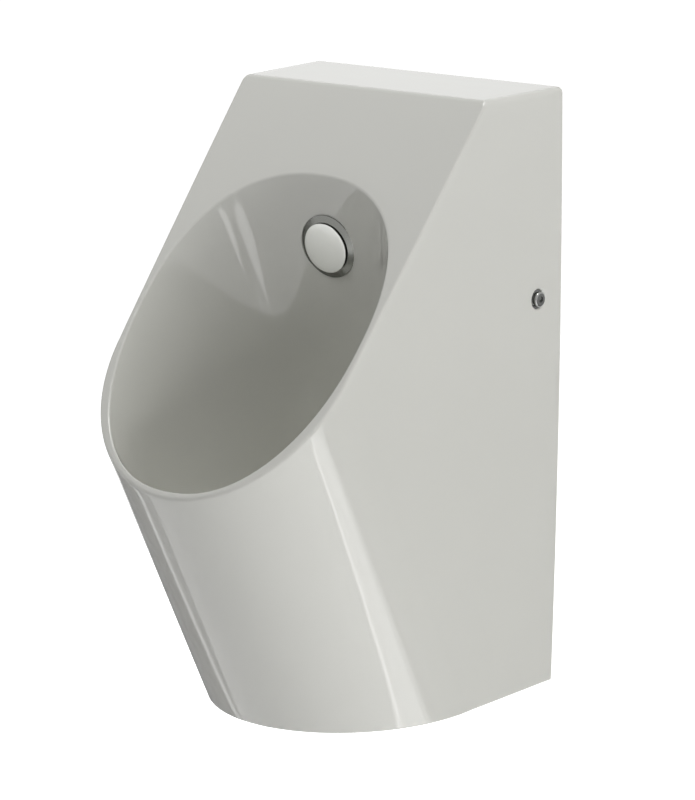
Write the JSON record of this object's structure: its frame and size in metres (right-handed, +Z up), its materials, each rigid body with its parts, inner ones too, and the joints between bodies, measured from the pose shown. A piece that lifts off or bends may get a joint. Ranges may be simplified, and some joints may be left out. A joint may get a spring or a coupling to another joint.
{
  "type": "wall-hung urinal",
  "caption": "Wall-hung china urinal with a sloping front, an oval bowl opening, a round spray head, side fixing screws, wall brackets and a bottle trap.",
  "frame": {"origin": "wall plane at the centre of the bottom edge of the china", "axes": "+Z up, +Y into the wall, +X to the right for someone facing the wall"},
  "size_m": [0.3158, 0.4139, 0.604],
  "materials": {
    "glazed_china": "glossy glazed vitreous china",
    "cap_plastic": "glossy moulded plastic",
    "rubber": "matt black rubber",
    "plated_brass": "chrome-plated brass",
    "brass": "machined brass",
    "plated_tube": "chrome-plated copper tube",
    "stainless": "brushed stainless steel",
    "white_plastic": "satin white polypropylene",
    "zinc_steel": "zinc-plated steel",
    "nylon": "natural nylon",
    "chrome": "polished chrome plate"
  },
  "bodies": {
    "urinal": {"ceramic_body": "glazed_china", "spray_body": "plated_brass", "spray_front_seal": "rubber", "spray_back_seal": "rubber", "spray_lock_nut": "brass", "feed_washer": "rubber", "feed_union_nut": "brass", "feed_tube": "plated_tube", "drain_seal": "rubber", "waste_flange": "plated_brass", "waste_back_seal": "rubber", "waste_lock_nut": "white_plastic", "trap_seal": "rubber", "trap_union_nut": "white_plastic", "trap_body": "white_plastic", "outlet_seal": "rubber", "outlet_nut": "white_plastic", "outlet_pipe": "white_plastic", "left_bracket": "zinc_steel", "right_bracket": "zinc_steel", "bracket_nuts": "zinc_steel", "fixing_sleeves": "nylon", "cup_washers": "chrome"},
    "strainer": {"strainer": "stainless"},
    "spray_cap": {"spray_cap": "cap_plastic", "cap_ring": "rubber"},
    "trap_cup": {"trap_cup": "white_plastic", "cup_ring": "rubber"},
    "left_screw": {"left_screw": "chrome"},
    "right_screw": {"right_screw": "chrome"}
  },
  "joints": [
    {"name": "strainer_lift", "type": "slide", "parent": "urinal", "child": "strainer", "axis": [0, 0, 1], "range_m": [0, 0.08]},
    {"name": "cap_pull", "type": "slide", "parent": "urinal", "child": "spray_cap", "axis": [0, -0.9816, -0.1908], "range_m": [0, 0.012]},
    {"name": "trap_cup_turn", "type": "hinge", "parent": "urinal", "child": "trap_cup", "pos_m": [0, -0.22, 0.03], "axis": [0, 0, 1], "range_deg": [0, 540]},
    {"name": "left_screw_turn", "type": "hinge", "parent": "urinal", "child": "left_screw", "pos_m": [-0.15436, -0.036, 0.4], "axis": [-1, 0, 0], "range_deg": [0, 1440]},
    {"name": "right_screw_turn", "type": "hinge", "parent": "urinal", "child": "right_screw", "pos_m": [0.15436, -0.036, 0.4], "axis": [1, 0, 0], "range_deg": [0, 1440]}
  ]
}
